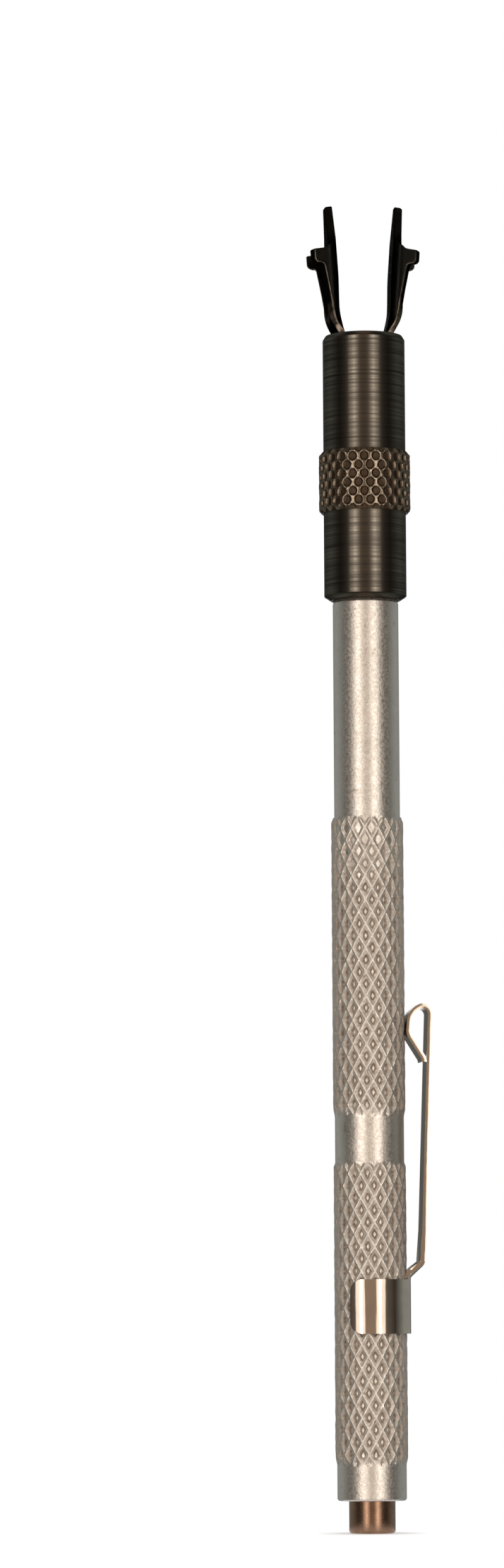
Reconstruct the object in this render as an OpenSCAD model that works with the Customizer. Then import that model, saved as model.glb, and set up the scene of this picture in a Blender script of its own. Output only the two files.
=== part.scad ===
// Screw starter: a knurled pen-size handle with a pocket clip and a magnet in its foot, and two
// spring jaws at its head that a sliding sleeve closes on a screw.
// Millimetres. +Z runs along the handle from the magnet's end face to the jaw tips, +X points to the clip.

/* [Pose] */
// How far the sleeve is pushed up from its step
sleeve_lift = 0; // [0:0.5:8]

/* [Handle] */
// Diameter of the bar, left plain at the collar and the ring
bar_d = 7.95; // [7.8:0.05:8]
// Diameter over the crests of the knurl
knurl_d = 8.4; // [8.3:0.05:8.5]
// Depth of the diamond pits below the crests
knurl_depth = 0.34; // [0.2:0.02:0.4]
// Length of each knurled grip
knurl_len = 34.55; // [32:0.05:36]
// Diamonds around the handle
knurl_starts = 16; // [12:1:18]
// Diamonds along each grip
knurl_rows = 12; // [10:1:14]
// Length of the plain collar at the foot
collar_len = 3.9; // [3:0.1:5]
// Length of the plain ring between the grips
ring_len = 5.6; // [4:0.1:7]
// Diameter of the plain tube above the grips
tube_d = 7.6; // [7.5:0.05:7.7]
// Length of the plain tube
tube_len = 25; // [22:0.5:28]
// Diameter of the neck that the sleeve slides on
neck_d = 7.04; // [7:0.02:7.08]
// Length of the neck above the step
neck_len = 19.7; // [19:0.1:20.5]
// Bore in the neck that holds the jaw leaves
jaw_bore_d = 5.5; // [5.4:0.05:5.6]
// Depth of that bore
jaw_bore_depth = 16; // [15:0.5:18]

/* [Magnet] */
// Diameter of the magnet rod
magnet_d = 5.3; // [4.8:0.1:5.6]
// Length of the magnet rod
magnet_len = 12; // [9:0.5:18]
// How far it stands out of the foot
magnet_reach = 3.7; // [2:0.1:5]

/* [Pocket clip] */
// Thickness of the strip
clip_t = 0.4; // [0.34:0.02:0.42]
// Width of the arm
clip_w = 3.6; // [2.6:0.1:4]
// Height of the band
band_h = 6.2; // [5:0.1:7]
// Lower edge of the band above the magnet's end face
band_foot = 22.7; // [20:0.1:24]
// Angle that the band wraps round the grip
band_wrap = 256; // [220:2:270]
// Length of the straight arm
arm_len = 28.7; // [26:0.1:30]

/* [Sleeve] */
// Outside diameter of the sleeve
sleeve_d = 9.55; // [9.5:0.05:9.7]
// Length of the sleeve
sleeve_len = 31; // [30.6:0.1:31]
// Bore that the jaws close in
sleeve_bore_d = 8.5; // [8.46:0.02:8.54]
// Length of the closer bore that runs on the neck
guide_len = 10.2; // [9:0.2:11]
// Diameter over the knurled band
grip_d = 10.66; // [10.5:0.02:10.8]
// Length of the knurled band
grip_len = 7.1; // [6:0.1:8]
// Lower edge of the knurled band above the sleeve's lower end
grip_foot = 10.2; // [9:0.1:11]
// Diamonds around the band
grip_starts = 24; // [20:1:26]
// Diamonds along the band
grip_rows = 3; // [2:1:4]

/* [Jaws] */
// Sheet thickness of the jaws
sheet_t = 0.78; // [0.7:0.01:0.8]
// Width over the two wings of a jaw
jaw_w = 5.5; // [5.3:0.05:5.5]
// Height of the jaw tips above the magnet's end face, jaws closed
tip_z = 153.85; // [153.5:0.05:154.2]
// Length of the fingers above the lugs
finger_len = 5.1; // [4.8:0.1:5.4]
// Width of a finger at its tip
finger_tip_w = 1.4; // [1.2:0.05:1.8]
// Width of a finger at its foot
finger_foot_w = 3.4; // [2.8:0.1:3.4]
// Height of a lug
lug_h = 1.66; // [1.5:0.02:1.7]
// Reach of the lugs from the axis, jaws closed
lug_reach = 3.96; // [3.7:0.02:4]
// Swing of each jaw between closed and open, in degrees
open_angle = 7.9; // [7:0.1:7.9]

/* [Hidden] */
$fn = 96;

aluminium = [0.74, 0.71, 0.67];
magnet_metal = [0.46, 0.36, 0.29];
bright_steel = [0.80, 0.78, 0.75];
dark_steel = [0.20, 0.18, 0.16];
black_steel = [0.10, 0.10, 0.09];

// running clearance, seated clearance and edge breaks
slide_gap = 0.05;
seat_gap = 0.02;
edge = 0.35;

// levels along the handle
foot_z = magnet_reach;
lower_knurl_z = foot_z + collar_len;
ring_z = lower_knurl_z + knurl_len;
upper_knurl_z = ring_z + ring_len;
tube_z = upper_knurl_z + knurl_len;
step_z = tube_z + tube_len;
neck_top_z = step_z + neck_len;
jaw_bore_z = neck_top_z - jaw_bore_depth;
shoulder_r = 0.45;
core_gap = 0.25;
knurl_core_r = knurl_d / 2 - knurl_depth - core_gap;
knurl_bevel = [0.35, 0.24];

// cross pin, hidden under the sleeve at both ends of its travel
pin_r = 0.8;
pin_z = step_z + 11.2;

// sleeve
sleeve_travel = 8;
sleeve_z = step_z + slide_gap + sleeve_lift;
mouth_flare = 0.1;
rim_bevel = [0.3, 0.5];
foot_bevel = [0.75, 0.5];
grip_depth = 0.3;
grip_bevel = [0.35, 0.3];

// jaws, all drawn closed and then swung open about the bend line of their leaf
leaf_gap = 1;
leaf_x = leaf_gap / 2;
bend_x = leaf_x + sheet_t / 2;
bend_z = tip_z - 24.25;
rise_z = tip_z - 20.35;
tang_w = 2 * sqrt(pow(jaw_bore_d / 2 - seat_gap, 2) - pow(leaf_x + sheet_t, 2));
tang_foot_z = jaw_bore_z + 1;
spacer_len = 12;
throat_x = 1.36;
throat_z = tip_z - 12.35;
tip_x = 0.5;
tilt = atan((throat_x - tip_x) / (tip_z - throat_z));
shoulder_z = tip_z - finger_len;
lug_foot_z = shoulder_z - lug_h;
wing_foot = [2.3, tip_z - 13.95];
wing_knee = [2.72, tip_z - 11.85];
wing_head = [2.93, lug_foot_z - 0.3];
rim_cut = [0.5, 0.6];
bend_outer_r = 0.9;
bend_inner_r = 0.12;
swing = open_angle * (1 - sleeve_lift / sleeve_travel);

// points of an arc about a centre, from one angle to another
function arc(c, r, a0, a1, n = 8) =
    [for (i = [0 : n]) c + r * [cos(a0 + (a1 - a0) * i / n), sin(a0 + (a1 - a0) * i / n)]];
function reversed(list) = [for (i = [len(list) - 1 : -1 : 0]) list[i]];
function flipped(list) = [for (p = reversed(list)) [-p[0], p[1]]];
function mix(a, b, s) = a + (b - a) * s;
function ease(s) = s * s * (3 - 2 * s);

// turns an outline in X and Z into a plate that lies across Y
module across(w) {
    rotate([90, 0, 0])
        linear_extrude(w, center = true)
            children();
}

// turns an outline in Y and Z into a prism along X
module facing(depth) {
    rotate([90, 0, 90])
        linear_extrude(depth, center = true)
            children();
}

// Diamond knurl: crossing ridges at the crest radius with a pit in each diamond, bevelled at both ends
module knurl(starts, rows, z0, z1, crest_r, pit_r, bevel) {
    last = 2 * rows;
    step = 360 / starts;
    row_h = (z1 - z0 - 2 * bevel[0]) / last;
    function place(r, a, z) = [r * cos(a), r * sin(a), z];
    function row_z(j) = z0 + bevel[0] + j * row_h;
    function crest_a(j, i) = (i + (j % 2) / 2) * step;
    function end_ring(j, z) =
        [for (i = [0 : starts - 1], k = [0, 1])
            place(k == 0 ? crest_r - bevel[1] : pit_r - bevel[1] / 2, crest_a(j, i + k / 2), z)];
    crests = [for (j = [0 : last], i = [0 : starts - 1]) place(crest_r, crest_a(j, i), row_z(j))];
    pits = [for (j = [0 : last], i = [0 : starts - 1]) place(pit_r, crest_a(j, i + 0.5), row_z(j))];
    pit_base = len(crests);
    low_base = 2 * pit_base;
    high_base = low_base + 2 * starts;
    function crest(j, i) = j * starts + i % starts;
    function pit(j, i) = pit_base + j * starts + i % starts;
    function rim(base, i) = base + i % (2 * starts);
    function row_rim(j, i) = i % 2 == 0 ? crest(j, floor(i / 2)) : pit(j, floor(i / 2));
    upper = [for (j = [0 : last - 1], i = [0 : starts - 1])
        for (f = [[pit(j, i), crest(j, i), crest(j + 1, i + j % 2)],
                  [pit(j, i), crest(j + 1, i + j % 2), crest(j, i + 1)]]) f];
    lower = [for (j = [1 : last], i = [0 : starts - 1])
        for (f = [[pit(j, i), crest(j, i + 1), crest(j - 1, i + j % 2)],
                  [pit(j, i), crest(j - 1, i + j % 2), crest(j, i)]]) f];
    low_bevel = [for (i = [0 : 2 * starts - 1])
        for (f = [[row_rim(0, i), row_rim(0, i + 1), rim(low_base, i + 1)],
                  [row_rim(0, i), rim(low_base, i + 1), rim(low_base, i)]]) f];
    high_bevel = [for (i = [0 : 2 * starts - 1])
        for (f = [[rim(high_base, i), rim(high_base, i + 1), row_rim(last, i + 1)],
                  [rim(high_base, i), row_rim(last, i + 1), row_rim(last, i)]]) f];
    low_cap = [[for (i = [0 : 2 * starts - 1]) low_base + i]];
    high_cap = [[for (i = [2 * starts - 1 : -1 : 0]) high_base + i]];
    polyhedron(points = concat(crests, pits, end_ring(0, z0), end_ring(last, z1)),
               faces = concat(upper, lower, low_bevel, high_bevel, low_cap, high_cap));
}

// Handle: turned bar with two knurled grips, a step and the neck
module barrel() {
    bar_r = bar_d / 2;
    tube_r = tube_d / 2;
    neck_r = neck_d / 2;
    color(aluminium) difference() {
        union() {
            rotate_extrude()
                polygon(concat(
                    [[0, foot_z], [bar_r - edge, foot_z], [bar_r, foot_z + edge],
                     [bar_r, lower_knurl_z], [knurl_core_r, lower_knurl_z],
                     [knurl_core_r, ring_z], [bar_r, ring_z],
                     [bar_r, upper_knurl_z], [knurl_core_r, upper_knurl_z],
                     [knurl_core_r, tube_z], [tube_r, tube_z]],
                    arc([tube_r - shoulder_r, step_z - shoulder_r], shoulder_r, 0, 90),
                    [[neck_r, step_z], [neck_r, neck_top_z - edge], [neck_r - edge, neck_top_z],
                     [0, neck_top_z]]));
            for (z = [lower_knurl_z, upper_knurl_z])
                knurl(knurl_starts, knurl_rows, z, z + knurl_len, knurl_d / 2,
                      knurl_d / 2 - knurl_depth, knurl_bevel);
        }
        translate([0, 0, foot_z - 1])
            cylinder(r = magnet_d / 2 + seat_gap, h = magnet_len - magnet_reach + 1 + seat_gap);
        translate([0, 0, jaw_bore_z])
            cylinder(r = jaw_bore_d / 2, h = jaw_bore_depth + 1);
        translate([0, 0, pin_z])
            rotate([0, 90, 0])
                cylinder(r = pin_r + seat_gap, h = bar_d + 2, center = true);
    }
}

// Magnet: rod with a broken edge, pressed into the foot
module magnet() {
    r = magnet_d / 2;
    break = 0.25;
    color(magnet_metal)
        rotate_extrude()
            polygon([[0, 0], [r - break, 0], [r, break], [r, magnet_len], [0, magnet_len]]);
}

// The clip's strip as a walk of straight runs and bends: [run, 0] or [bend radius, turn to the axis side]
band_r = knurl_d / 2 + seat_gap;
clip_kick = 47;
clip_lean = 2;
clip_walk = [[1.15, 0], [0.6, -clip_kick], [1.66, 0], [0.7, clip_kick - clip_lean], [arm_len, 0],
             [0.95, 115], [2.05, 57 + clip_lean], [0.4, 0], [1.3, 40], [3.5, 0]];
clip_start = [band_r + clip_t / 2, band_foot + band_h - 1.3];
function bend_points(p, a, r, turn, n = 10) =
    let (s = sign(turn), c = p + s * r * [-sin(a), cos(a)])
    [for (i = [1 : n]) let (b = a + turn * i / n) [c + s * r * [sin(b), -cos(b)], b]];
function walk(moves, p, a, i = 0) =
    i == len(moves) ? [] :
    let (m = moves[i],
         stretch = m[1] == 0 ? [[p + m[0] * [cos(a), sin(a)], a]] : bend_points(p, a, m[0], m[1]),
         end = stretch[len(stretch) - 1])
    concat(stretch, walk(moves, end[0], end[1], i + 1));

// Pocket clip: C-band, arm and teardrop loop of one strip
module pocket_clip() {
    path = concat([[clip_start, 90]], walk(clip_walk, clip_start, 90));
    outer = [for (q = path) q[0] + clip_t / 2 * [sin(q[1]), -cos(q[1])]];
    inner = [for (q = path) q[0] - clip_t / 2 * [sin(q[1]), -cos(q[1])]];
    corner = 1.4;
    reach = 2 * band_r;
    color(bright_steel) {
        difference() {
            translate([0, 0, band_foot])
                cylinder(r = band_r + clip_t, h = band_h);
            translate([0, 0, band_foot - 1])
                cylinder(r = band_r, h = band_h + 2);
            translate([0, 0, band_foot - 1])
                linear_extrude(band_h + 2)
                    polygon(concat([[0, 0]], arc([0, 0], reach, band_wrap / 2, 360 - band_wrap / 2)));
            for (side = [-1, 1], end = [-1, 1])
                rotate([0, 0, side * band_wrap / 2])
                    translate([0, 0, band_foot + band_h / 2])
                        rotate([90, 0, 90])
                            linear_extrude(reach)
                                scale([-side, end])
                                    polygon(concat([[-1, band_h / 2 + 1], [-1, band_h / 2 - 2 * corner]],
                                                   arc([corner, band_h / 2 - corner], corner, 165, 105),
                                                   [[2 * corner, band_h / 2 + 1]]));
        }
        across(clip_w)
            polygon(concat(outer, reversed(inner)));
    }
}

// Sleeve: tube with a guide bore on the neck, a wider bore for the jaws and a knurled band
module sleeve() {
    r = sleeve_d / 2;
    guide_r = neck_d / 2 + slide_gap;
    bore_r = sleeve_bore_d / 2;
    core_r = grip_d / 2 - grip_depth - 0.1;
    grip_top = grip_foot + grip_len;
    color(dark_steel)
        translate([0, 0, sleeve_z])
            difference() {
                union() {
                    rotate_extrude()
                        polygon([[guide_r + 0.1, 0], [r - foot_bevel[0], 0], [r, foot_bevel[1]],
                                 [r, grip_foot], [core_r - grip_bevel[1], grip_foot],
                                 [core_r - grip_bevel[1], grip_top], [r, grip_top],
                                 [r, sleeve_len - rim_bevel[1]], [r - rim_bevel[0], sleeve_len],
                                 [guide_r + 0.1, sleeve_len]]);
                    difference() {
                        knurl(grip_starts, grip_rows, grip_foot, grip_top, grip_d / 2,
                              grip_d / 2 - grip_depth, grip_bevel);
                        translate([0, 0, grip_foot - 1])
                            cylinder(r = r - 0.2, h = grip_len + 2);
                    }
                }
                rotate_extrude()
                    polygon([[0, -1], [guide_r + 0.25, -1], [guide_r + 0.25, 0], [guide_r, 0.25],
                             [guide_r, guide_len], [bore_r, guide_len + 0.8],
                             [bore_r, sleeve_len - 0.6], [bore_r + mouth_flare, sleeve_len],
                             [bore_r + mouth_flare, sleeve_len + 1], [0, sleeve_len + 1]]);
            }
}

// inner face of the jaw's sheet at a height: straight above the throat, eased into the leaf below it
function sheet_x(z) =
    z >= throat_z ? mix(tip_x, throat_x, (tip_z - z) / (tip_z - throat_z)) :
    mix(leaf_x, throat_x, ease(max(z - rise_z, 0) / (throat_z - rise_z)));

// half of a face outline, from the foot up to the middle of the top, closed by its mirror image
module both_halves(half) {
    polygon(concat(half, flipped(half)));
}

// Web, finger and leaf of a jaw, closed, on the clip side
module jaw_web() {
    leaf_z = [for (i = [0 : 12]) mix(bend_z, throat_z, i / 12)];
    tip_break = 0.12;
    tip_r = 0.3;
    web_half = jaw_w / 2 - bend_outer_r - 0.1;
    foot_half = finger_foot_w / 2;
    tip_half = finger_tip_w / 2;
    intersection() {
        across(jaw_w)
            polygon(concat(
                [for (z = leaf_z) [sheet_x(z), z]],
                [[tip_x, tip_z], [tip_x + sheet_t - tip_break, tip_z],
                 [sheet_x(tip_z - 2 * tip_break) + sheet_t, tip_z - 2 * tip_break]],
                [for (z = reversed(leaf_z)) [sheet_x(z) + sheet_t, z]]));
        facing(4 * jaw_w)
            both_halves(concat(
                [[tang_w / 2, bend_z - 1], [tang_w / 2, throat_z - 1.2], [web_half, throat_z - 0.6],
                 [web_half, shoulder_z], [foot_half, shoulder_z + 0.6]],
                arc([tip_half - tip_r, tip_z - tip_r], tip_r, 4, 90)));
    }
}

// what is taken off the outer corners of the wings and lugs along one stretch of their rim
module rim_bevel(from, to) {
    run = to - from;
    past = 0.3;
    for (side = [-1, 1])
        translate([from[0], side * jaw_w / 2, from[1]])
            rotate([0, atan2(run[0], run[1]), 0])
                translate([0, 0, -past / 4])
                    linear_extrude(norm(run) + past / 2)
                        scale([1, side])
                            polygon([[-(1 + past) * rim_cut[0], past * rim_cut[1]],
                                     [past * rim_cut[0], -(1 + past) * rim_cut[1]],
                                     [lug_reach, past * rim_cut[1]]]);
}

// Channel of a jaw with its wings and lugs, closed, on the clip side
module jaw_channel() {
    half = jaw_w / 2;
    depth = lug_reach;
    lug_r = 0.6;
    top_r = 0.18;
    fillet = 0.55;
    fillet_c = [sheet_x(shoulder_z) + sheet_t + fillet, shoulder_z + fillet];
    flank = half - finger_foot_w / 2;
    difference() {
        intersection() {
            translate([throat_x, 0, throat_z])
                rotate([0, -tilt, 0])
                    translate([0, 0, -1.6])
                        linear_extrude(tip_z - throat_z)
                            difference() {
                                polygon(concat([[depth, -half]],
                                               arc([bend_outer_r, -half + bend_outer_r], bend_outer_r, 270, 180),
                                               arc([bend_outer_r, half - bend_outer_r], bend_outer_r, 180, 90),
                                               [[depth, half]]));
                                polygon(concat([[depth + 1, sheet_t - half]],
                                               arc([sheet_t + bend_inner_r, sheet_t - half + bend_inner_r],
                                                   bend_inner_r, 270, 180),
                                               arc([sheet_t + bend_inner_r, half - sheet_t - bend_inner_r],
                                                   bend_inner_r, 180, 90),
                                               [[depth + 1, half - sheet_t]]));
                            }
            across(jaw_w + 1)
                polygon(concat(
                    [[0, wing_foot[1]], wing_foot, wing_knee, wing_head, [wing_head[0] + 0.3, lug_foot_z]],
                    arc([lug_reach - lug_r, lug_foot_z + lug_r], lug_r, 270, 360),
                    arc([lug_reach - top_r, shoulder_z - top_r], top_r, 0, 90),
                    arc(fillet_c, fillet, 270, 180),
                    [[0, shoulder_z + fillet]]));
            facing(4 * jaw_w)
                both_halves(concat(
                    [[half - 0.22, wing_foot[1] - 1], [half - 0.22, wing_foot[1]], [half, lug_foot_z],
                     [half, shoulder_z]],
                    arc([half, shoulder_z + flank], flank, 270, 180)));
        }
        rim_bevel(wing_foot, wing_knee);
        rim_bevel(wing_knee, wing_head);
        rim_bevel([lug_reach, lug_foot_z], [lug_reach, shoulder_z]);
    }
}

// A whole moving jaw on the clip side: its root is rounded about the bend line
module jaw() {
    translate([bend_x, 0, bend_z])
        rotate([0, swing, 0])
            translate([-bend_x, 0, -bend_z]) {
                jaw_web();
                jaw_channel();
                translate([bend_x, 0, bend_z])
                    rotate([90, 0, 0])
                        cylinder(r = sheet_t / 2 - seat_gap, h = tang_w - edge, center = true);
            }
}

module right_jaw() {
    color(black_steel) jaw();
}

module left_jaw() {
    color(black_steel) mirror([1, 0, 0]) jaw();
}

// the bore for the cross pin, along X
module pin_hole() {
    translate([0, 0, pin_z])
        rotate([0, 90, 0])
            cylinder(r = pin_r + seat_gap, h = bar_d, center = true);
}

// Fixed lower end of a jaw leaf, held in the neck
module tang() {
    top = bend_z - sheet_t / 2 - slide_gap;
    difference() {
        translate([leaf_x, -tang_w / 2, tang_foot_z])
            cube([sheet_t, tang_w, top - tang_foot_z]);
        pin_hole();
    }
}

module right_tang() {
    color(black_steel) tang();
}

module left_tang() {
    color(black_steel) mirror([1, 0, 0]) tang();
}

// Spacer between the two leaves
module tang_spacer() {
    color(bright_steel) difference() {
        translate([-leaf_x, -tang_w / 2, tang_foot_z])
            cube([leaf_gap, tang_w, spacer_len]);
        pin_hole();
    }
}

// Cross pin through the neck, the leaves and the spacer
module jaw_pin() {
    color(bright_steel)
        translate([0, 0, pin_z])
            rotate([0, 90, 0])
                cylinder(r = pin_r, h = neck_d - 2 * edge, center = true);
}

barrel();
magnet();
pocket_clip();
sleeve();
left_jaw();
right_jaw();
left_tang();
right_tang();
tang_spacer();
jaw_pin();
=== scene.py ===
import math

import bmesh
import bpy
from mathutils import Matrix, Vector, geometry, noise


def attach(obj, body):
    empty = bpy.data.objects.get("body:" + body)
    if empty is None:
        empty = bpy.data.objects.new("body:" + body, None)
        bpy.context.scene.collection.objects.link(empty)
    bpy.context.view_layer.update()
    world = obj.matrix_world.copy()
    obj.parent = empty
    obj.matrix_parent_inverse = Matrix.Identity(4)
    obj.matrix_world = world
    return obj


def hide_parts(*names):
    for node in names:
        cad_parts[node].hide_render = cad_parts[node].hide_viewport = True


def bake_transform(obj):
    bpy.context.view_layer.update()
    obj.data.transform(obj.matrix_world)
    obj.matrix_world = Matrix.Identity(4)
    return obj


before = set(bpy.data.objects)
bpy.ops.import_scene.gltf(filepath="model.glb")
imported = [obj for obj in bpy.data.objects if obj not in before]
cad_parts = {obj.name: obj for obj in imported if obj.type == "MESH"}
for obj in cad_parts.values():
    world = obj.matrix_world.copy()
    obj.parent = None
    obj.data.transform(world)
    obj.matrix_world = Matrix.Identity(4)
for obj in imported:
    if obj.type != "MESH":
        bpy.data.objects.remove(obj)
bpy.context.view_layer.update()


# Handle: one bar of aluminium, turned with a collar at the foot, a plain ring, a plain tube and a
# thinner neck. Two grips are rolled into it with a diamond knurl. The foot is bored for the magnet,
# the neck is bored for the jaw strips and drilled across for their pin.
MM = 0.001  # sizes are written in millimetres, and Blender's are metres
bar_r, tube_r = 3.97, 3.8
foot_z, lower_grip_z, ring_z = 3.7, 7.6, 42.35
upper_grip_z, tube_z, step_z = 47.45, 82.05, 107.3
neck_r, neck_top_z = 3.52, 127.0
jaw_bore_r, jaw_bore_z = 2.75, 111.0
magnet_bore_r, magnet_bore_top_z = 2.67, 12.02
pin_hole_r, pin_z = 0.82, 118.5
collar_round, step_round, neck_round, bore_break = 0.32, 0.45, 0.3, 0.1
grip_starts, grip_half_rows = 16, 25  # ridges each way round the bar, half diamonds along a grip
knurl_steps, knurl_seam = 16, 0.01  # mesh lines across a diamond, gap to the plain turning beside it
grip_crest_r, grip_pit_r = 4.19, 3.68
slope_top_r, slope_foot_r = 4.09, 3.98
crest_wear, wear_grain, slope_rough, rough_grain = 0.03, 1.3, 0.012, 3.1
crest_half, slope_share = (0.08, 0.24), (0.2, 0.7)  # shares of the way off a ridge
pit_core, pit_edge, pit_edge_rough, pit_edge_at_head, pit_roundness = 0.3, 0.55, 0.14, 0.2, 0.85
speck_half, speck_rise = 0.25, 0.06
lower_lead_in, upper_lead_in = 1.0, 5.5
foot_run_out, head_run_out = 1.2, 0.6
foot_deepening, head_depth, lead_in_depth, bare_margin = 0.22, 0.02, 0.16, 0.004
# Painted light on the grips: shade on the slopes and in the pits, a highlight on the ridges, and a random
# mottle.
slope_shade, crest_highlight, rough_stain, pit_shade = 0.2, 0.17, 0.2, 0.7
smooth_angle = math.radians(35)
aluminium_tone = (0.70, 0.67, 0.64, 1)
# Tone of real nicks, and of the painted shade on the knurl's slopes and in its pits.
aluminium_nick_and_shade_tone = (0.39, 0.325, 0.275, 1)


def rounded(corners, steps=5):
    """A profile from corners (r, z) or (r, z, fillet): each fillet becomes an arc of short chords."""
    points = []
    for i, corner in enumerate(corners):
        p = Vector(corner[:2])
        if len(corner) == 2:
            points.append(tuple(p))
            continue
        to_last = (Vector(corners[i - 1][:2]) - p).normalized()
        to_next = (Vector(corners[(i + 1) % len(corners)][:2]) - p).normalized()
        half_angle = to_last.angle(to_next) / 2
        centre = p + (to_last + to_next).normalized() * corner[2] / math.sin(half_angle)
        reach = corner[2] / math.tan(half_angle)
        start, end = p + to_last * reach - centre, p + to_next * reach - centre
        turn = start.angle_signed(end)
        for k in range(steps + 1):
            points.append(tuple(centre + Matrix.Rotation(-turn * k / steps, 2) @ start))
    return points


def ring_of(bm, r, z, angles):
    return [bm.verts.new((r * math.cos(a) * MM, r * math.sin(a) * MM, z * MM)) for a in angles]


def sew(bm, low, high):
    """Quads between two rings of as many points, the second above or inside the first."""
    for i in range(len(low)):
        k = (i + 1) % len(low)
        bm.faces.new((low[i], low[k], high[k], high[i]))


def turn_profile(bm, profile, angles, low=None, high=None):
    """Revolves a profile, joined to ring low and ring high where they are given. Gives its end rings."""
    rings = [low] if low else []
    rings += [ring_of(bm, r, z, angles) for r, z in profile]
    rings += [high] if high else []
    for first, second in zip(rings, rings[1:]):
        sew(bm, first, second)
    return rings[0], rings[-1]


def knurl_lines(steps):
    """Where the lines of a knurl's mesh cross one diamond: close together beside the ridges."""
    shares = [i / steps for i in range(steps)]
    return [s - 0.4 * math.sin(2 * math.pi * s) / (2 * math.pi) for s in shares]


def angle_of(vert):
    return math.atan2(vert.co.y, vert.co.x) % (2 * math.pi)


def ring_angles(ring):
    return [angle_of(vert) for vert in ring]


def roll_knurl(bm, knurl_shade_layer, z0, z1, starts, half_rows, steps, radius_at, phase=0):
    """A diamond knurl whose mesh runs along both families of ridges. Its radius is asked for by the share
    of the way off a ridge and the place from the diamond's middle, round and along the bar, 1 at a corner.
    Gives its lowest and highest ring."""
    lines = knurl_lines(steps)
    diamond_h = 2 * (z1 - z0) / half_rows
    count = starts * steps
    rows = []
    for j in range(half_rows * steps + 1):
        row = []
        for i in range(count):
            t = 2 * i + j % 2
            u_cell, u_line = divmod((t + j) // 2, steps)
            v_cell, v_line = divmod((t - j) // 2, steps)
            u, v = u_cell + lines[u_line], v_cell + lines[v_line]
            a = (u + v + 2 * phase) * math.pi / starts
            z = z0 + (u - v) * diamond_h / 2
            du, dv = lines[u_line] - 0.5, lines[v_line] - 0.5
            r, pit = radius_at(1 - 2 * max(abs(du), abs(dv)), du + dv, du - dv, a, z)
            vert = bm.verts.new((r * math.cos(a) * MM, r * math.sin(a) * MM, z * MM))
            # The second value from radius_at is the mark that paints shade into the knurl's colour.
            vert[knurl_shade_layer] = pit
            row.append(vert)
        rows.append(row)
    for j in range(len(rows) - 1):
        for i in range(count):
            left = rows[j + 1][i - 1 + j % 2]
            right = rows[j + 1][(i + j % 2) % count]
            if j == 0:
                bm.faces.new((rows[0][i - 1], rows[0][i], left))
            if j == len(rows) - 2:
                bm.faces.new((rows[j][i], right, left))
            else:
                bm.faces.new((rows[j][i], right, rows[j + 2][i], left))
    return sorted(rows[0], key=angle_of), sorted(rows[-1], key=angle_of)


def ramp(x, x0, x1):
    """0 below x0, 1 above x1 and a smooth rise between them."""
    s = min(max((x - x0) / (x1 - x0), 0), 1)
    return s * s * (3 - 2 * s)


def handle_grip(z0, z1, lead_in):
    """The grip's surface: thin ridges proud of the bar, dull slopes between them, and in each diamond a
    small pit with a bright speck. Ridges and pits run out at the ends, and where the pits are shallow,
    over the lead-in at the head, the bare bar shows."""

    def radius_at(off_ridge, round_by, along_by, a, z):
        off_middle = math.hypot(round_by, along_by) * math.sqrt(2)
        spot = Vector((grip_crest_r * math.cos(a), grip_crest_r * math.sin(a), z))
        rough = noise.noise(spot * rough_grain)
        crest = grip_crest_r - crest_wear * (1 + noise.noise(spot * wear_grain))
        on_crest = 1 - ramp(off_ridge, *crest_half)
        on_slope = min(max((off_ridge - slope_share[0]) / (slope_share[1] - slope_share[0]), 0), 1)
        r = slope_top_r + (slope_foot_r - slope_top_r) * on_slope + slope_rough * rough
        r += (crest - r) * on_crest
        from_foot, from_head = z - z0, z1 - z
        near_head = 1 - ramp(from_head, 0.4 * lead_in, lead_in)
        pit_end = pit_edge + pit_edge_rough * rough + pit_edge_at_head * near_head
        in_pit = 1 - ramp(max(1 - off_ridge, pit_roundness * off_middle), pit_core, pit_end)
        r += (grip_pit_r - r) * in_pit
        raised = min(ramp(from_foot, 0, foot_run_out), ramp(from_head, 0, head_run_out))
        deepest = head_depth + lead_in_depth * (from_head / lead_in) ** 2
        bare_bar = bar_r - min(foot_deepening * from_foot, deepest)
        r = bar_r + (r - bar_r) * raised if r > bar_r else r
        if r < bare_bar + bare_margin:
            return max(r, bare_bar), 0
        if off_middle < speck_half:
            return r + speck_rise, 0
        # Painted shade on the slopes and in the pits, a painted highlight on the ridges, and a random
        # mottle.
        shade_and_mottle = slope_shade - crest_highlight * on_crest + rough_stain * rough + pit_shade * in_pit
        return r, raised * shade_and_mottle

    return radius_at


def new_piece(name, bm):
    bmesh.ops.recalc_face_normals(bm, faces=bm.faces)
    mesh = bpy.data.meshes.new(name)
    bm.to_mesh(mesh)
    bm.free()
    mesh.shade_smooth()
    mesh.set_sharp_from_angle(angle=smooth_angle)
    piece = bpy.data.objects.new(name, mesh)
    bpy.context.scene.collection.objects.link(piece)
    return piece


def apply_modifiers(piece):
    evaluated = piece.evaluated_get(bpy.context.evaluated_depsgraph_get())
    mesh = bpy.data.meshes.new_from_object(evaluated)
    piece.modifiers.clear()
    piece.data = mesh


def add_node(tree, kind, inputs=(), **settings):
    """A node with its settings, and its inputs linked where they are sockets and set where they aren't."""
    made = tree.nodes.new(kind)
    for name, value in settings.items():
        setattr(made, name, value)
    for key, value in dict(inputs).items():
        if isinstance(value, bpy.types.NodeSocket):
            tree.links.new(value, made.inputs[key])
        else:
            made.inputs[key].default_value = value
    return made


def calc(tree, operation, *values):
    return add_node(tree, "ShaderNodeMath", dict(enumerate(values)), operation=operation).outputs[0]


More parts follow.
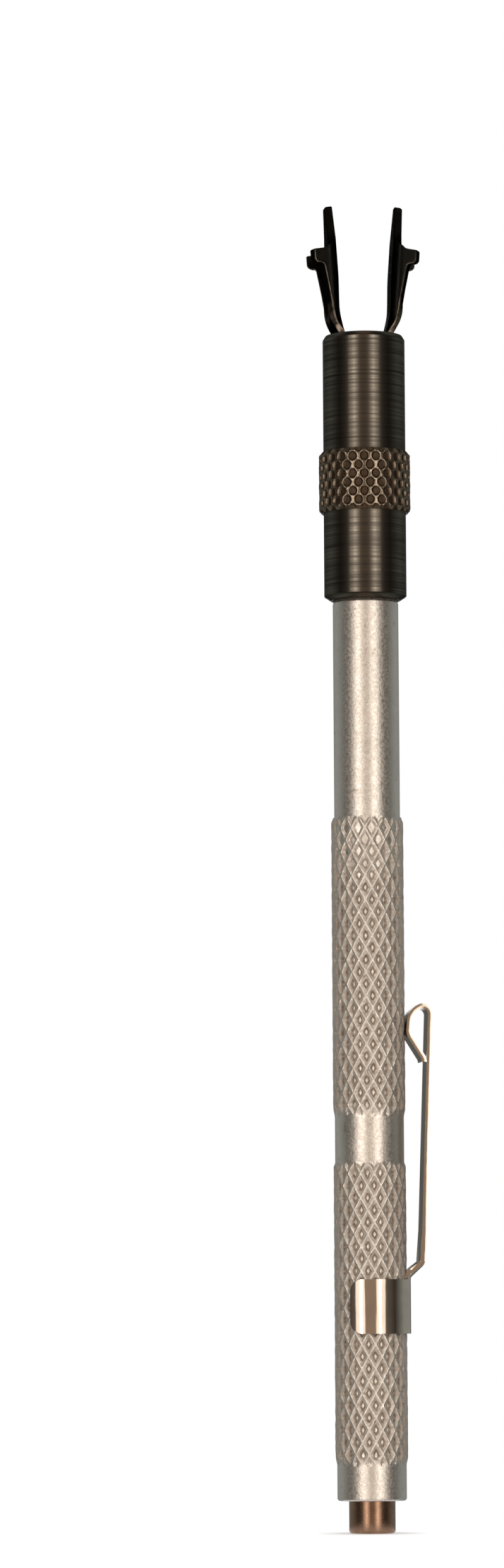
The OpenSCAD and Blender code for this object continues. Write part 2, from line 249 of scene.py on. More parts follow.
def new_metal(name, edge=1.0):
    """A metal finish: its material, tree, shader and coordinates. Oxide dulls its shine seen edge-on, which
    is full at 1."""
    finish = bpy.data.materials.new(name)
    finish.use_nodes = True
    tree = finish.node_tree
    shader = tree.nodes["Principled BSDF"]
    shader.inputs["Metallic"].default_value = 1
    shader.inputs["Specular Tint"].default_value = (edge, edge, edge, 1)
    place = add_node(tree, "ShaderNodeTexCoord").outputs["Object"]
    return finish, tree, shader, place


def speckle(tree, place, size_mm, detail=2.0):
    """Noise whose grains are about that wide."""
    grain = {"Vector": place, "Scale": 1 / (size_mm * MM), "Detail": detail}
    return add_node(tree, "ShaderNodeTexNoise", grain).outputs["Fac"]


def between(tree, share, low, high):
    """Noise spread from low to high."""
    limits = {"Value": share, "From Min": 0.3, "From Max": 0.7, "To Min": low, "To Max": high}
    return add_node(tree, "ShaderNodeMapRange", limits).outputs["Result"]


def shade(tone, share):
    return tuple(share * c for c in tone[:3]) + (1,)


def tint(tree, share, first, second):
    return add_node(tree, "ShaderNodeMix", {0: share, 6: first, 7: second}, data_type="RGBA").outputs[2]


def relief(tree, shader, height, depth_mm):
    bump = add_node(tree, "ShaderNodeBump", {"Height": height, "Distance": depth_mm * MM})
    tree.links.new(bump.outputs["Normal"], shader.inputs["Normal"])


def vertex_mark(tree, name):
    return add_node(tree, "ShaderNodeAttribute", attribute_name=name).outputs["Fac"]


def aluminium_finish():
    finish, tree, shader, place = new_metal("handle_aluminium")
    pit = vertex_mark(tree, "pit")
    cloud = speckle(tree, place, 2.5)
    grain = speckle(tree, place, 0.28, 4.0)
    few_grains = {"Value": speckle(tree, place, 0.9), "From Min": 0.67, "From Max": 0.75, "To Max": 0.6}
    nicks = add_node(tree, "ShaderNodeMapRange", few_grains).outputs["Result"]
    clean = tint(tree, between(tree, cloud, 0, 1), aluminium_tone, shade(aluminium_tone, 1.1))
    clean = tint(tree, nicks, clean, aluminium_nick_and_shade_tone)
    # The knurl's painted shade and ridge highlight, varied by grain, tint the colour.
    painted_shade = calc(tree, "MULTIPLY", pit, between(tree, grain, 0.5, 1.5))
    tree.links.new(tint(tree, painted_shade, clean, aluminium_nick_and_shade_tone), shader.inputs["Base Color"])
    dull = calc(tree, "MULTIPLY_ADD", pit, 1.6, between(tree, grain, 0.32, 0.48))
    tree.links.new(calc(tree, "MINIMUM", dull, 0.8), shader.inputs["Roughness"])
    relief(tree, shader, grain, 0.022)
    return finish


bm = bmesh.new()
# The pit mark holds the grips' painted shade and ridge highlight.
knurl_shade_layer = bm.verts.layers.float.new("pit")
lower_ends = roll_knurl(bm, knurl_shade_layer, lower_grip_z, ring_z, grip_starts, grip_half_rows, knurl_steps,
                        handle_grip(lower_grip_z, ring_z, lower_lead_in))
upper_ends = roll_knurl(bm, knurl_shade_layer, upper_grip_z, tube_z, grip_starts, grip_half_rows, knurl_steps,
                        handle_grip(upper_grip_z, tube_z, upper_lead_in), phase=0.5)
foot_profile = rounded([(magnet_bore_r, magnet_bore_top_z), (magnet_bore_r, foot_z + bore_break),
                        (magnet_bore_r + bore_break, foot_z), (bar_r, foot_z, collar_round),
                        (bar_r, lower_grip_z - knurl_seam)])
bore_end, _ = turn_profile(bm, foot_profile, ring_angles(lower_ends[0]), high=lower_ends[0])
bm.faces.new(bore_end)
turn_profile(bm, [(bar_r, ring_z + knurl_seam), (bar_r, upper_grip_z - knurl_seam)],
             ring_angles(lower_ends[1]), low=lower_ends[1], high=upper_ends[0])
neck_profile = rounded([(tube_r, tube_z + knurl_seam), (tube_r, step_z, step_round),
                        (neck_r, step_z, bore_break), (neck_r, neck_top_z, neck_round),
                        (jaw_bore_r, neck_top_z, bore_break), (jaw_bore_r, jaw_bore_z)])
_, bore_end = turn_profile(bm, neck_profile, ring_angles(upper_ends[1]), low=upper_ends[1])
bm.faces.new(bore_end)
handle = new_piece("handle", bm)

drill = bmesh.new()
across = Matrix.Translation((0, 0, pin_z * MM)) @ Matrix.Rotation(math.pi / 2, 4, "Y")
bmesh.ops.create_cone(drill, cap_ends=True, segments=48, radius1=pin_hole_r * MM, radius2=pin_hole_r * MM,
                      depth=4 * tube_r * MM, matrix=across)
drill = new_piece("pin_drill", drill)
cut = handle.modifiers.new("pin_hole", "BOOLEAN")
cut.operation = "DIFFERENCE"
cut.object = drill
apply_modifiers(handle)
bpy.data.objects.remove(drill)
handle.data.set_sharp_from_angle(angle=smooth_angle)
handle.data.materials.clear()
handle.data.materials.append(aluminium_finish())
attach(handle, "handle")
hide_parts("barrel")


# Magnet: a ground rod of cast magnet metal with a softly broken end, pressed into the foot so that
# a short end stands out. It is brown like old copper, with fine marks of grinding round it.
magnet_r, magnet_len = 2.65, 12.0
magnet_face_r, magnet_round, magnet_back_r, magnet_break = 2.05, 0.32, 2.35, 0.1
magnet_tone = (0.338, 0.21, 0.147, 1)


def magnet_finish():
    finish, tree, shader, place = new_metal("magnet_metal")
    cloud = speckle(tree, place, 1.2)
    grain = speckle(tree, place, 0.12, 3.0)
    mottled = tint(tree, between(tree, cloud, 0, 1), shade(magnet_tone, 0.75), magnet_tone)
    tree.links.new(mottled, shader.inputs["Base Color"])
    tree.links.new(between(tree, grain, 0.2, 0.32), shader.inputs["Roughness"])
    relief(tree, shader, grain, 0.002)
    return finish


def even_angles(count):
    return [2 * math.pi * i / count for i in range(count)]


bm = bmesh.new()
rod_profile = rounded([(magnet_face_r, 0), (magnet_r, 0, magnet_round),
                       (magnet_r, magnet_len, magnet_break), (magnet_back_r, magnet_len)])
for end in turn_profile(bm, rod_profile, even_angles(96)):
    bm.faces.new(end)
magnet = new_piece("magnet_rod", bm)
magnet.data.materials.append(magnet_finish())
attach(magnet, "handle")
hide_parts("magnet")


# Pocket clip: one strip of polished spring steel. A wide tail is rolled into an open band that
# grips the lower knurl, and the arm kicks out, runs up beside the handle and ends in a teardrop
# loop whose nose rests on the grip.
clip_t, clip_w = 0.54, 3.6
band_r, band_foot_z, band_h, band_wrap = 4.35, 22.7, 6.2, math.radians(256)
band_corner, arm_fillet, clip_edge = 1.4, 0.8, 0.1
flattened_from, flattened_at = 0.3, 4.5  # along the arm, from the band's roll to a flat strip
clip_kick, clip_lean = 47, 2.0  # degrees
clip_walk = [(0.05, 0), (0.6, -clip_kick), (1.635, 0), (0.7, clip_kick - clip_lean), (28.35, 0),
             (0.9, 118), (2.1, 58 + clip_lean), (0.95, 0), (1.3, 36), (2.72, 0), (1.0, -34)]
clip_smooth_angle, clip_edge_angle = math.radians(40), math.radians(60)
clip_tone = (0.70, 0.62, 0.55, 1)


def walk_strip(moves, start):
    """Points and headings of a strip's middle line in X and Z, from runs (length, 0) and bends
    (radius, degrees)."""
    run_steps, bend_steps = 8, 14
    x, z, heading = start[0], start[1], 90.0
    path = [(x, z, heading)]
    for size, turn in moves:
        a = math.radians(heading)
        if turn == 0:
            for k in range(1, run_steps + 1):
                on = size * k / run_steps
                path.append((x + on * math.cos(a), z + on * math.sin(a), heading))
        else:
            side = math.copysign(size, turn)
            cx, cz = x - side * math.sin(a), z + side * math.cos(a)
            for k in range(1, bend_steps + 1):
                now = heading + turn * k / bend_steps
                b = math.radians(now)
                path.append((cx + side * math.sin(b), cz - side * math.cos(b), now))
            heading += turn
        x, z = path[-1][:2]
    return path


def clip_mesh():
    """The strip's middle sheet: the band's rows below, the arm's rows above, on shared columns."""
    bm = bmesh.new()
    arm_columns, side_columns, band_rows = 12, 26, 14
    root_half = clip_w / 2 + arm_fillet
    half_arc = band_r * band_wrap / 2
    top_z = band_foot_z + band_h
    arcs = [root_half * (2 * i / arm_columns - 1) for i in range(arm_columns + 1)]
    side = [root_half + (half_arc - root_half) * math.sin(math.pi / 2 * i / side_columns)
            for i in range(1, side_columns + 1)]
    arcs = [-s for s in reversed(side)] + arcs + side
    rows = []
    for j in range(band_rows + 1):
        row = []
        for arc in arcs:
            near_end = max(abs(arc) - (half_arc - band_corner), 0)
            half_h = band_h / 2 - band_corner + math.sqrt(max(band_corner ** 2 - near_end ** 2, 0))
            a = arc / band_r
            z = band_foot_z + band_h / 2 + half_h * math.sin(math.pi / 2 * (2 * j / band_rows - 1))
            row.append(bm.verts.new((band_r * math.cos(a) * MM, band_r * math.sin(a) * MM, z * MM)))
        rows.append(row)
    for j in range(band_rows):
        for i in range(len(arcs) - 1):
            bm.faces.new((rows[j][i], rows[j][i + 1], rows[j + 1][i + 1], rows[j + 1][i]))
    last = rows[-1][side_columns:side_columns + arm_columns + 1]
    travelled = 0.0
    path = walk_strip(clip_walk, (band_r, top_z))
    for (x0, z0, _), (x, z, heading) in zip(path, path[1:]):
        travelled += math.hypot(x - x0, z - z0)
        over = max(arm_fillet - travelled, 0)
        half = clip_w / 2 + arm_fillet - math.sqrt(max(arm_fillet ** 2 - over ** 2, 0))
        rolled = 1 - ramp(travelled, flattened_from, flattened_at)
        a = math.radians(heading)
        row = []
        for i in range(arm_columns + 1):
            arc = half * (2 * i / arm_columns - 1)
            y = arc + rolled * (band_r * math.sin(arc / band_r) - arc)
            dip = rolled * band_r * (1 - math.cos(arc / band_r))
            row.append(bm.verts.new(((x - dip * math.sin(a)) * MM, y * MM, (z + dip * math.cos(a)) * MM)))
        for i in range(arm_columns):
            bm.faces.new((last[i], last[i + 1], row[i + 1], row[i]))
        last = row
    bmesh.ops.remove_doubles(bm, verts=bm.verts, dist=1e-6)
    return bm


def stretch(tree, place, scale):
    return add_node(tree, "ShaderNodeMapping", {"Vector": place, "Scale": scale}).outputs["Vector"]


def clip_finish():
    finish, tree, shader, place = new_metal("clip_steel")
    drawn = stretch(tree, place, (1, 1, 0.05))
    lines = speckle(tree, drawn, 0.15)
    cloud = speckle(tree, place, 3.0)
    clouded = tint(tree, between(tree, cloud, 0, 1), shade(clip_tone, 0.86), clip_tone)
    tree.links.new(clouded, shader.inputs["Base Color"])
    tree.links.new(between(tree, lines, 0.05, 0.11), shader.inputs["Roughness"])
    relief(tree, shader, lines, 0.002)
    return finish


clip = new_piece("clip_strip", clip_mesh())
thicken = clip.modifiers.new("thickness", "SOLIDIFY")
thicken.thickness = clip_t * MM
thicken.offset = 0
soften = clip.modifiers.new("edges", "BEVEL")
soften.width = clip_edge * MM
soften.segments = 3
soften.limit_method = "ANGLE"
soften.angle_limit = clip_edge_angle
apply_modifiers(clip)
clip.data.shade_smooth()
clip.data.set_sharp_from_angle(angle=clip_smooth_angle)
clip.data.materials.append(clip_finish())
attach(clip, "handle")
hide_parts("pocket_clip")


# Jaws: two like stampings of spring-steel strip, blackened. Each is a flat leaf in the neck that
# widens into a channel with two lugs, for the sleeve's mouth to push on, and ends in a tapered
# finger. They are set open at rest, and the leaf springs above the mouth of the neck.
sheet_t, sheet_edge, rim_slant = 0.78, 0.14, 0.5
leaf_x, throat_x, tip_x = 0.5, 1.36, 0.5
leaf_foot_z, bend_z, rise_z, throat_z, tip_z = 112.0, 129.6, 133.5, 141.5, 153.82
leaf_fine_z, shoulder_z, lug_foot_z = 124.0, 148.75, 147.09
leaf_half, leaf_row, web_half, web_narrowing, fold_r = 2.4, 0.8, 1.85, 0.22, 0.51
fold_start_z, fold_end_z = 137.8, 142.3
wing_rim = ((2.75, 142.3), (2.8, 144.0), (2.95, 146.4))
slant_start_z, slant_end_z, lug_slant = (139.5, 141.5), (148.7, 148.95), (1, 0.1)
lug_reach, lug_corner, lug_top_corner = 3.95, 0.6, 0.2
lug_fillet = ((0.05, 0.35), (0.14, 0.15), (0.27, 0.02))
finger_foot_half, finger_tip_half, finger_tip_corner = 1.7, 0.7, 0.3
finger_fillet = (1.65, 1.6)
tip_break = (0.12, 0.2)
finger_thicker, thicker_z, thicker_past = 0.17, (141, 146), (-0.05, 0.35)
open_angle = math.radians(7.9)
spring_start_z, spring_end_z = 126.4, 132.8
lattice_across, lattice_along, lattice_gap = 0.15, 0.45, 0.08
# Where the painted glint on the jaws' rims lies, and where it ends.
glint_corner, glint_flat_z, glint_end_z = 0.6, (139.5, 142.8), (148.3, 148.9)
jaw_tone = (0.009, 0.009, 0.008, 1)
# Light tone of the painted glint on the rims.
jaw_glint_tone = (0.42, 0.35, 0.29, 1)


def sheet_middle(z):
    """How far the sheet's middle is from the axis, jaws closed."""
    if z >= throat_z:
        return throat_x + (tip_x - throat_x) * (z - throat_z) / (tip_z - throat_z) + sheet_t / 2
    return leaf_x + (throat_x - leaf_x) * ramp(z, rise_z, throat_z) + sheet_t / 2


def flat_half(z):
    """Half of the width that stays flat between the two folds."""
    return web_half - web_narrowing * (1 - ramp(z, fold_start_z, lug_foot_z))


def folded(arc, z, off):
    """A point of the flat blank, arc across and z along it, folded into the channel and off its middle."""
    off -= max((z - tip_z) / tip_break[1] + 1, 0) * tip_break[0] * (off / sheet_t + 0.5)
    past = abs(arc) - flat_half(z)
    thicker = finger_thicker * ramp(z, *thicker_z) * (1 - ramp(past, *thicker_past))
    off -= thicker * (0.5 - off / sheet_t)
    fold = math.pi / 2 * ramp(z, fold_start_z, fold_end_z)
    if past <= 0 or fold < 1e-4:
        return Vector((sheet_middle(z) + off, arc, z))
    turn = min(past / fold_r, fold)
    past -= turn * fold_r
    x = sheet_middle(z) + fold_r - (fold_r - off) * math.cos(turn) + past * math.sin(turn)
    y = flat_half(z) + (fold_r - off) * math.sin(turn) + past * math.cos(turn)
    return Vector((x, math.copysign(y, arc), z))


def blank_half(reach, z):
    """Half of the blank's width where its folded wing reaches that far from the axis."""
    rise = reach - sheet_middle(z)
    if rise < fold_r:
        return flat_half(z) + fold_r * math.acos(1 - rise / fold_r)
    return flat_half(z) + fold_r * math.pi / 2 + rise - fold_r


def arc_points(centre, radius, start, end, count=6):
    angles = [math.radians(start + (end - start) * k / count) for k in range(count + 1)]
    return [(centre[0] + radius * math.cos(a), centre[1] + radius * math.sin(a)) for a in angles]


def blank_outline():
    """One side of the blank: leaf and wing up to the lug's top corner, the shoulder, then the finger."""
    wing = [(leaf_half, leaf_foot_z + (leaf_fine_z - leaf_foot_z) * k / 4) for k in range(4)]
    wing += [(leaf_half, leaf_fine_z + leaf_row * k) for k in range(18)]
    wide = blank_half(*wing_rim[0])
    for k in range(10):
        z = fold_start_z + (fold_end_z - fold_start_z) * k / 10
        wing.append((leaf_half + (wide - leaf_half) * ramp(z, fold_start_z, fold_end_z), z))
    for (reach0, z0), (reach1, z1) in zip(wing_rim, wing_rim[1:]):
        for k in range(6):
            z = z0 + (z1 - z0) * k / 6
            wing.append((blank_half(reach0 + (reach1 - reach0) * k / 6, z), z))
    wing.append((blank_half(*wing_rim[-1]), wing_rim[-1][1]))
    edge = wing[-1][0]
    lug_middle_z = (shoulder_z + lug_foot_z) / 2
    lug_half = blank_half(lug_reach, lug_middle_z)
    wing += [(edge + out, lug_foot_z - below) for out, below in lug_fillet]
    wing += arc_points((lug_half - lug_corner, lug_foot_z + lug_corner), lug_corner, -88, 0)
    wing += [(lug_half, lug_middle_z + 0.2)]
    wing += arc_points((lug_half - lug_top_corner, shoulder_z - lug_top_corner), lug_top_corner, 0, 90, 4)
    finger = []
    for k in range(13):
        share = k / 12
        finger.append((finger_foot_half + finger_fillet[0] * (1 - share),
                       shoulder_z + finger_fillet[1] * share ** 2))
    taper_z = tip_z - finger_tip_corner
    for k in range(1, 8):
        z = finger[12][1] + (taper_z - finger[12][1]) * k / 8
        finger.append((finger_foot_half + (finger_tip_half - finger_foot_half) * k / 8, z))
    finger += arc_points((finger_tip_half - finger_tip_corner, taper_z), finger_tip_corner, 0, 90)
    shoulder = [wing[-1][0] + (finger[0][0] - wing[-1][0]) * k / 5 for k in range(1, 5)]
    return wing + [(a, shoulder_z) for a in shoulder] + finger


def sprung(point, side):
    """Sets a point of the closed jaw open about the spring line, then on its own side of the axis."""
    share = ramp(point.z, spring_start_z, spring_end_z)
    about = Vector((leaf_x + sheet_t / 2, 0, bend_z))
    point = about + Matrix.Rotation(share * open_angle, 3, "Y") @ (point - about)
    return Vector((side * point.x, point.y, point.z)) * MM


def inside(loop, a, z):
    """Whether a point of the blank is within a closed outline."""
    crossings = 0
    for (a0, z0), (a1, z1) in zip(loop, loop[1:] + loop[:1]):
        if (z0 > z) != (z1 > z) and a < a0 + (a1 - a0) * (z - z0) / (z1 - z0):
            crossings += 1
    return crossings % 2 == 1


def jaw_mesh(side):
    """Both faces of the blank, filled over a lattice of points, and the rounded edge that closes them."""
    half = blank_outline()
    lug_half = max(a for a, z in half)
    loop = half + [(-a, z) for a, z in reversed(half)]
    outward = []
    for i, now in enumerate(loop):
        into = (Vector(now) - Vector(loop[i - 1])).normalized()
        on = (Vector(loop[(i + 1) % len(loop)]) - Vector(now)).normalized()
        outward.append(Vector((into.y + on.y, -into.x - on.x)).normalized())

    def outline(inset, off):
        """The outline drawn in by inset. Rims of wings and lugs slant, and are lower outside the channel."""
        places = []
        for (a, z), out in zip(loop, outward):
            slant = rim_slant * ramp(z, *slant_start_z) * (1 - ramp(z, *slant_end_z))
            at_end = max(abs(out.x), ramp(abs(a), lug_half - lug_slant[0], lug_half - lug_slant[1]))
            slant = math.copysign(slant * at_end * (0.5 - off / sheet_t), a)
            places.append((a - out.x * inset - slant, z - out.y * inset))
        return places

    bm = bmesh.new()
    worn = bm.verts.layers.float.new("worn")
    straight = sheet_t / 2 - sheet_edge
    turns = [math.radians(22.5 * k) for k in range(5)]
    section = [(sheet_edge * (1 - math.sin(t)), straight + sheet_edge * math.cos(t)) for t in turns]
    section += [(inset, -off) for inset, off in reversed(section)]
    rings = []
    for inset, off in section:
        rings.append([])
        corner = 4 * inset / sheet_edge * (1 - inset / sheet_edge)
        for a, z in outline(inset, off):
            vert = bm.verts.new(sprung(folded(a, z, off), side))
            # The worn mark is a painted glint on the rims' rounded corners and over the flat cut edge below
            # the sleeve's mouth.
            flat = (1 - inset / sheet_edge) * (1 - ramp(z, *glint_flat_z))
            vert[worn] = max(glint_corner * corner, flat) * (1 - ramp(z, *glint_end_z))
            rings[-1].append(vert)
    for low, high in zip(rings, rings[1:]):
        sew(bm, low, high)
    columns, rows = range(-31, 32), range(1, 93)
    lattice = [(lattice_across * i, leaf_foot_z + lattice_along * k) for k in rows for i in columns]
    rim_edges = [(i, (i + 1) % len(loop)) for i in range(len(loop))]
    for ring, off in ((rings[0], sheet_t / 2), (rings[-1], -sheet_t / 2)):
        well_in = outline(sheet_edge + lattice_gap, off)
        points = outline(sheet_edge, off) + [p for p in lattice if inside(well_in, *p)]
        filled = geometry.delaunay_2d_cdt([Vector(p) for p in points], rim_edges, [], 1, 1e-6)
        triangles, sources = filled[2:4]
        verts = ring + [bm.verts.new(sprung(folded(a, z, off), side)) for a, z in points[len(loop):]]
        for triangle in triangles:
            bm.faces.new([verts[sources[i][0]] for i in triangle])
    return bm


def jaw_finish():
    finish, tree, shader, place = new_metal("jaw_steel", edge=0.14)
    cloud = speckle(tree, place, 0.8, 4.0)
    grain = speckle(tree, place, 0.1, 3.0)
    # The worn mark paints a lighter glint on the rims.
    glint = calc(tree, "MULTIPLY", vertex_mark(tree, "worn"), between(tree, cloud, 0.15, 0.8))
    tree.links.new(tint(tree, glint, jaw_tone, jaw_glint_tone), shader.inputs["Base Color"])
    tree.links.new(between(tree, cloud, 0.24, 0.4), shader.inputs["Roughness"])
    relief(tree, shader, grain, 0.006)
    return finish


jaw_steel = jaw_finish()
for name, side in (("left", -1), ("right", 1)):
    strip = new_piece(name + "_jaw_strip", jaw_mesh(side))
    strip.data.materials.append(jaw_steel)
    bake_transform(strip)
    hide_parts(name + "_jaw", name + "_tang")


# Spacer and cross pin: a bright steel block between the two jaw leaves and a plain dowel driven
# through the neck, both leaves and the block. The sleeve covers them.
inner_tone = (0.55, 0.54, 0.52, 1)


def inner_finish():
    finish, tree, shader, place = new_metal("inner_steel")
    grain = speckle(tree, place, 0.3, 3.0)
    grained = tint(tree, between(tree, grain, 0, 1), shade(inner_tone, 0.8), inner_tone)
    tree.links.new(grained, shader.inputs["Base Color"])
    tree.links.new(between(tree, grain, 0.22, 0.4), shader.inputs["Roughness"])
    return finish


inner_steel = inner_finish()
for name in ("tang_spacer", "jaw_pin"):
    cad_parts[name].data.materials.clear()
    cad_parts[name].data.materials.append(inner_steel)


# Sleeve: a tube turned from steel bar and darkened, with fine marks of the tool round it. It runs
# on the neck by its closer lower bore, a knurled band gives a hold, and its mouth closes the jaws.
sleeve_r, sleeve_foot_z, sleeve_top_z = 4.775, 107.35, 138.35
guide_r, guide_top_z, sleeve_bore_r, mouth_flare = 3.57, 117.55, 4.25, 0.1
foot_bevel, rim_bevel, bevel_round = (0.75, 0.5), (0.3, 0.5), 0.15
guide_break, foot_round, shoulder_round, rim_round, mouth_round = 0.25, 0.1, 0.06, 0.08, 0.05
mouth_len, guide_slope = 0.6, 0.8
band_low_z, band_high_z = 117.55, 124.65
band_crest_r, band_pit_r, band_end_r = 5.33, 5.03, 4.98
band_starts, band_half_rows = 24, 7
band_pit_size, band_pit_floor, pit_unevenness, uneven_grain = (0.80, 0.60), 0.6, 0.1, 1.9
band_wear, band_wear_grain, band_end_slope = 0.03, 3.3, 0.9
sleeve_dark_tone = (0.050, 0.044, 0.038, 1)
sleeve_tone = (0.162, 0.146, 0.124, 1)
# Painted shade in the knurled band's pits, and a painted sheen that makes the band lighter than the tube.
sleeve_pit_shade_tone = (0.072, 0.050, 0.034, 1)
sleeve_band_sheen_tone = (0.26, 0.217, 0.17, 1)


def band_surface(off_ridge, round_by, along_by, a, z):
    """Round pits in a flat-topped web, uneven as a worn roller leaves them, and bevelled at both ends."""
    spot = Vector((band_crest_r * math.cos(a), band_crest_r * math.sin(a), z))
    from_middle = math.hypot(round_by / band_pit_size[0], along_by / band_pit_size[1])
    from_middle -= pit_unevenness * noise.noise(spot * uneven_grain)
    in_pit = 1 - ramp(from_middle, band_pit_floor, 1)
    from_end = min(z - band_low_z, band_high_z - z)
    crest = band_crest_r - band_wear * (1 + noise.noise(spot * band_wear_grain))
    return min(crest + (band_pit_r - crest) * in_pit, band_end_r + band_end_slope * from_end), in_pit


def sleeve_finish():
    finish, tree, shader, place = new_metal("sleeve_steel", edge=0.45)
    pit = vertex_mark(tree, "pit")
    turned = stretch(tree, place, (0.015, 0.015, 1))
    lines = speckle(tree, turned, 0.26, 5.0)
    tone = tint(tree, between(tree, lines, 0, 1), sleeve_dark_tone, sleeve_tone)
    # Painted sheen over the knurled band, and painted shade in its pits.
    tone = tint(tree, vertex_mark(tree, "crest"), tone, sleeve_band_sheen_tone)
    tree.links.new(tint(tree, pit, tone, sleeve_pit_shade_tone), shader.inputs["Base Color"])
    dull = calc(tree, "MULTIPLY_ADD", pit, 0.3, between(tree, lines, 0.3, 0.16))
    tree.links.new(dull, shader.inputs["Roughness"])
    relief(tree, shader, lines, 0.012)
    return finish


bm = bmesh.new()
# The pit mark holds each pit's share, which paints shade in the band's pits.
knurl_shade_layer = bm.verts.layers.float.new("pit")
band_sheen_layer = bm.verts.layers.float.new("crest")
band_ends = roll_knurl(bm, knurl_shade_layer, band_low_z, band_high_z, band_starts, band_half_rows, knurl_steps,
                       band_surface)
# The whole knurled band is marked for the painted sheen.
for vert in bm.verts:
    vert[band_sheen_layer] = 1
below_band, above_band = band_low_z - knurl_seam, band_high_z + knurl_seam
foot_half = rounded([
    (guide_r, sleeve_foot_z + guide_break), (guide_r + guide_break, sleeve_foot_z),
    (sleeve_r - foot_bevel[0], sleeve_foot_z, foot_round),
    (sleeve_r, sleeve_foot_z + foot_bevel[1], bevel_round),
    (sleeve_r, below_band, shoulder_round), (band_end_r, below_band)])
head_half = rounded([
    (band_end_r, above_band), (sleeve_r, above_band, shoulder_round),
    (sleeve_r, sleeve_top_z - rim_bevel[1], bevel_round),
    (sleeve_r - rim_bevel[0], sleeve_top_z, rim_round),
    (sleeve_bore_r + mouth_flare, sleeve_top_z, mouth_round), (sleeve_bore_r, sleeve_top_z - mouth_len),
    (sleeve_bore_r, guide_top_z + guide_slope), (guide_r, guide_top_z)])
bore_foot, _ = turn_profile(bm, foot_half, ring_angles(band_ends[0]), high=band_ends[0])
_, bore_head = turn_profile(bm, head_half, ring_angles(band_ends[1]), low=band_ends[1])
sew(bm, bore_head, bore_foot)
sleeve = new_piece("sleeve_tube", bm)
sleeve.data.materials.append(sleeve_finish())
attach(sleeve, "sleeve")
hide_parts("sleeve")


# Camera: as the tool was photographed, a little to the left of straight on, from the height of the
# clip's band, and looking slightly up and past its left side.
camera_azimuth, camera_distance, camera_height = math.radians(-7.35), 680 * MM, 22 * MM
camera_yaw, camera_pitch, camera_roll = math.radians(1.120), math.radians(5.387), math.radians(-0.329)
heading = camera_azimuth + camera_yaw
forward = Vector((-math.sin(heading) * math.cos(camera_pitch), math.cos(heading) * math.cos(camera_pitch),
                  math.sin(camera_pitch)))
right = forward.cross(Vector((0, 0, 1))).normalized()
up = right.cross(forward)
right, up = (right * math.cos(camera_roll) + up * math.sin(camera_roll),
             up * math.cos(camera_roll) - right * math.sin(camera_roll))
towards_camera = Vector((math.sin(camera_azimuth), -math.cos(camera_azimuth), 0))
lens = bpy.data.cameras.new("camera")
lens.lens = 135.53
lens.sensor_width = 36
lens.clip_start = 0.01
lens.clip_end = 20
camera = bpy.data.objects.new("camera", lens)
camera.matrix_world = Matrix((right, up, -forward)).transposed().to_4x4()
camera.location = towards_camera * camera_distance + Vector((0, 0, camera_height))
bpy.context.scene.collection.objects.link(camera)
bpy.context.scene.camera = camera


# Floor: a plain round plate of white card under the foot. It keeps the tool's shadow, and its rim
# is as white as the background behind it.
plate_r, plate_gap, plate_fill = 7.0, 0.02, 0.45
whiter_from, white_at = 0.5 * plate_r, 0.95 * plate_r


def vector_calc(tree, operation, output, *values):
    made = add_node(tree, "ShaderNodeVectorMath", dict(enumerate(values)), operation=operation)
    return made.outputs[output]


bm = bmesh.new()
bm.faces.new(ring_of(bm, plate_r, -plate_gap, even_angles(96)))
floor = new_piece("floor", bm)
card = bpy.data.materials.new("white_card")
card.use_nodes = True
tree = card.node_tree
tree.nodes.clear()
place = add_node(tree, "ShaderNodeTexCoord").outputs["Object"]
from_foot = vector_calc(tree, "LENGTH", "Value", place)
limits = {"Value": from_foot, "From Min": whiter_from * MM, "From Max": white_at * MM}
to_rim = add_node(tree, "ShaderNodeMapRange", limits).outputs["Result"]
ray = add_node(tree, "ShaderNodeLightPath").outputs
seen = calc(tree, "MAXIMUM", ray["Is Camera Ray"], ray["Is Glossy Ray"])
seen = calc(tree, "MAXIMUM", seen, ray["Is Transmission Ray"])
paper = add_node(tree, "ShaderNodeBsdfDiffuse", {"Color": (0.8, 0.8, 0.8, 1)}).outputs["BSDF"]
fill_strength = calc(tree, "MULTIPLY", seen, plate_fill)
fill = add_node(tree, "ShaderNodeEmission", {"Color": (1, 1, 1, 1), "Strength": fill_strength})
lit = add_node(tree, "ShaderNodeAddShader", {0: paper, 1: fill.outputs["Emission"]}).outputs["Shader"]
white = add_node(tree, "ShaderNodeEmission", {"Color": (1, 1, 1, 1), "Strength": seen}).outputs["Emission"]
mixed = add_node(tree, "ShaderNodeMixShader", {0: to_rim, 1: lit, 2: white}).outputs["Shader"]
add_node(tree, "ShaderNodeOutputMaterial", {"Surface": mixed})
floor.data.materials.append(card)


# Lamps: two tall soft boxes of warm cloth, either side of the camera and brighter along their middle.
# Each is a wide lamp with a narrow one in front of it.
lamp_distance, lamp_height, lamp_length = 350 * MM, 80 * MM, 600 * MM
box_width, middle_width = 165 * MM, 45 * MM
box_strength, middle_strength = 1.25, 2.2
lamp_colour = (1.0, 0.92, 0.82)
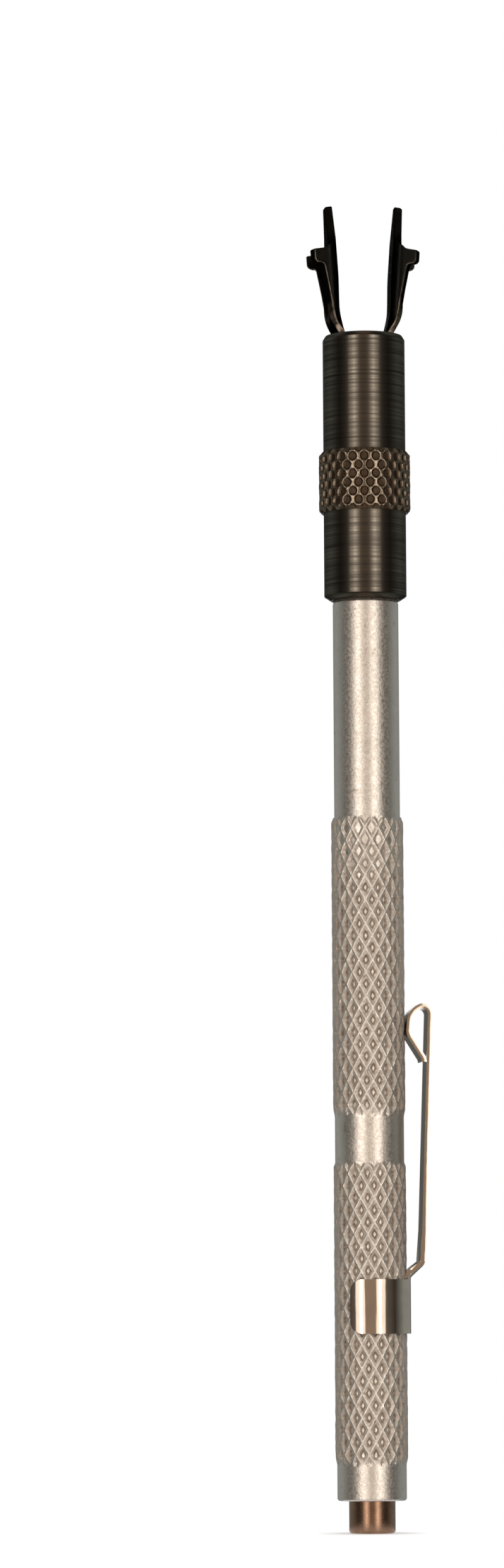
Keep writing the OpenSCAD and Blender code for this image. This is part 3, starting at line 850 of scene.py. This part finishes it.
# name, degrees round from the camera, width and strength
lamps = (("left_lamp", -29.5, box_width, box_strength),
         ("left_lamp_middle", -27.5, middle_width, middle_strength),
         ("right_lamp", 29.5, box_width, box_strength),
         ("right_lamp_middle", 27.5, middle_width, middle_strength))
for name, turn, lamp_width, lamp_strength in lamps:
    light = bpy.data.lights.new(name, "AREA")
    light.shape = "RECTANGLE"
    light.size, light.size_y = lamp_width, lamp_length
    light.color = lamp_colour
    light.energy = lamp_strength * math.pi * lamp_width * lamp_length
    lamp = bpy.data.objects.new(name, light)
    out = Matrix.Rotation(math.radians(turn), 3, "Z") @ towards_camera
    lamp.matrix_world = (Matrix.Translation(out * lamp_distance + Vector((0, 0, lamp_height)))
                         @ out.to_track_quat("Z", "Y").to_matrix().to_4x4())
    lamp.visible_camera = False
    bpy.context.scene.collection.objects.link(lamp)


# Room: dim painted walls, which the bright metal shows, brown beside the camera and grey beyond the
# tool, and a white paper backdrop behind it.
# degrees round from the camera's side, and the wall's colour there
wall_tones = ((0, (0.36, 0.27, 0.20)), (25, (0.36, 0.27, 0.20)), (50, (0.13, 0.11, 0.09)),
              (75, (0.05, 0.045, 0.037)), (110, (0.31, 0.325, 0.30)), (150, (0.33, 0.335, 0.32)),
              (161, (0.11, 0.11, 0.10)))
# degrees out of the plane square to each axis, where the backdrop is full white and where it ends
backdrop_reach = ((forward, 80, 0), (right, 3.2, 8.5), (up, 8.5, 16.0))
room = bpy.data.worlds.new("room")
bpy.context.scene.world = room
room.use_nodes = True
tree = room.node_tree
tree.nodes.clear()
direction = add_node(tree, "ShaderNodeTexCoord").outputs["Generated"]
level = vector_calc(tree, "MULTIPLY", "Vector", direction, (1, 1, 0))
level = vector_calc(tree, "NORMALIZE", "Vector", level)
to_front = vector_calc(tree, "DOT_PRODUCT", "Value", level, tuple(towards_camera))
half_turn = calc(tree, "DIVIDE", calc(tree, "ARCCOSINE", to_front), math.pi)
walls = add_node(tree, "ShaderNodeValToRGB", {"Fac": half_turn})
for k, (angle, tone) in enumerate(wall_tones):
    stop = walls.color_ramp.elements[k] if k < 2 else walls.color_ramp.elements.new(1)
    stop.position = angle / 180
    stop.color = tone + (1,)
backdrop = 1.0
for axis, full, end in backdrop_reach:
    reach = vector_calc(tree, "DOT_PRODUCT", "Value", direction, tuple(axis))
    if axis is not forward:
        reach = calc(tree, "ABSOLUTE", reach)
    full, end = math.sin(math.radians(full)), math.sin(math.radians(end))
    limits = {"Value": reach, "From Min": end, "From Max": full}
    within = add_node(tree, "ShaderNodeMapRange", limits).outputs["Result"]
    backdrop = calc(tree, "MULTIPLY", backdrop, within)
sky = tint(tree, backdrop, walls.outputs["Color"], (1, 1, 1, 1))
glow = add_node(tree, "ShaderNodeBackground", {"Color": sky}).outputs["Background"]
add_node(tree, "ShaderNodeOutputWorld", {"Surface": glow})

bpy.context.scene.view_settings.view_transform = "Standard"
